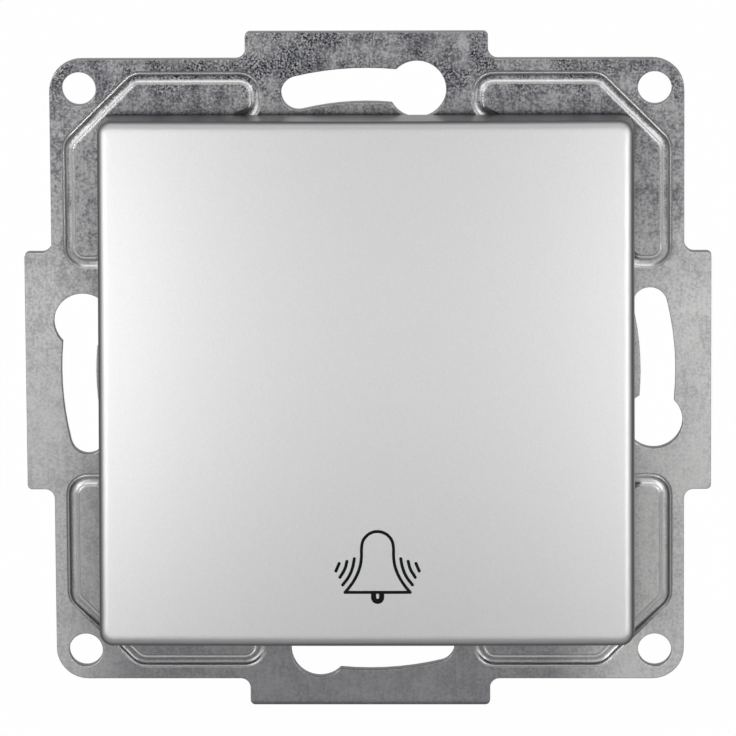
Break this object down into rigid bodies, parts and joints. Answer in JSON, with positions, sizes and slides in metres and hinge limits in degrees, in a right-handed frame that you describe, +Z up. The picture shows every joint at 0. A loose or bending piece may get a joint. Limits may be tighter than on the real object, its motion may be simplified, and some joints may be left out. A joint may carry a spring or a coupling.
{
  "type": "doorbell push button",
  "caption": "Flush wall push button: square fixing plate with keyhole slots, contact block with spreading claws behind it, and a sprung rocking cap in front.",
  "frame": {"origin": "centre of the fixing plate's four corner holes, on the plate's back face, which is the plane of the wall", "axes": "+X to the right and +Z up as seen from the front; -Y points out of the wall, towards the person who presses"},
  "size_m": [0.071, 0.0379, 0.071],
  "materials": {
    "zinc_plated_steel": "galvanised, spangled",
    "housing_plastic": "moulded",
    "cover_plastic": "moulded",
    "silver_lacquer": "metallic lacquer, satin",
    "cradle_plastic": "moulded",
    "plunger_plastic": "moulded",
    "contact_brass": "stamped",
    "contact_silver": "silver alloy",
    "screw_steel": "zinc plated",
    "claw_steel": "zinc plated",
    "spring_steel": "drawn wire"
  },
  "bodies": {
    "base": {"support_plate": "zinc_plated_steel", "base_housing": "housing_plastic", "mechanism_cover": "cover_plastic", "cover_screws": "screw_steel", "fixed_contact_left": "contact_brass", "fixed_contact_right": "contact_brass", "fixed_contact_tips": "contact_silver", "terminal_clamp_left": "contact_brass", "terminal_clamp_right": "contact_brass", "return_spring": "spring_steel"},
    "rocker": {"rocker_cap": "silver_lacquer", "rocker_cradle": "cradle_plastic"},
    "plunger": {"contact_plunger": "plunger_plastic", "contact_bridge": "contact_brass", "bridge_contact_tips": "contact_silver"},
    "terminal_screw_left_body": {"terminal_screw_left": "screw_steel"},
    "claw_left_body": {"claw_left": "claw_steel"},
    "claw_nut_left_body": {"claw_nut_left": "screw_steel"},
    "claw_screw_left_body": {"claw_screw_left": "screw_steel"},
    "terminal_screw_right_body": {"terminal_screw_right": "screw_steel"},
    "claw_right_body": {"claw_right": "claw_steel"},
    "claw_nut_right_body": {"claw_nut_right": "screw_steel"},
    "claw_screw_right_body": {"claw_screw_right": "screw_steel"}
  },
  "joints": [
    {"name": "rocker_press", "type": "hinge", "parent": "base", "child": "rocker", "pos_m": [0, -0.0063, 0], "axis": [1, 0, 0], "range_deg": [0, 7], "stiffness_Nm_per_rad": 0.3, "springref_deg": -5.73},
    {"name": "plunger_slide", "type": "slide", "parent": "base", "child": "plunger", "axis": [0, 1, 0], "range_m": [0, 0.00135], "deforming": ["return_spring"]},
    {"name": "terminal_screw_left_turn", "type": "hinge", "parent": "base", "child": "terminal_screw_left_body", "pos_m": [-0.0125, 0.0174, -0.018], "axis": [0, 0, 1], "range_deg": [-1080, 0]},
    {"name": "claw_screw_left_turn", "type": "hinge", "parent": "base", "child": "claw_screw_left_body", "pos_m": [-0.0226, 0, 0], "axis": [0, 1, 0], "range_deg": [0, 3600]},
    {"name": "claw_nut_left_travel", "type": "slide", "parent": "base", "child": "claw_nut_left_body", "axis": [0, -1, 0], "range_m": [0, 0.005]},
    {"name": "claw_left_spread", "type": "hinge", "parent": "base", "child": "claw_left_body", "pos_m": [-0.0258, 0.0016, 0], "axis": [0, 0, 1], "range_deg": [0, 25]},
    {"name": "terminal_screw_right_turn", "type": "hinge", "parent": "base", "child": "terminal_screw_right_body", "pos_m": [0.0125, 0.0174, -0.018], "axis": [0, 0, 1], "range_deg": [-1080, 0]},
    {"name": "claw_screw_right_turn", "type": "hinge", "parent": "base", "child": "claw_screw_right_body", "pos_m": [0.0226, 0, 0], "axis": [0, 1, 0], "range_deg": [0, 3600]},
    {"name": "claw_nut_right_travel", "type": "slide", "parent": "base", "child": "claw_nut_right_body", "axis": [0, -1, 0], "range_m": [0, 0.005]},
    {"name": "claw_right_spread", "type": "hinge", "parent": "base", "child": "claw_right_body", "pos_m": [0.0258, 0.0016, 0], "axis": [0, 0, -1], "range_deg": [0, 25]}
  ],
  "couplings": [
    {"joint": "plunger_slide", "follows": "rocker_press", "m_per_rad": 0.010936},
    {"joint": "claw_screw_left_turn", "follows": "claw_nut_left_travel", "rad_per_m": 12566},
    {"joint": "claw_left_spread", "follows": "claw_nut_left_travel", "rad_per_m": 87.266},
    {"joint": "claw_screw_right_turn", "follows": "claw_nut_right_travel", "rad_per_m": 12566},
    {"joint": "claw_right_spread", "follows": "claw_nut_right_travel", "rad_per_m": 87.266}
  ]
}
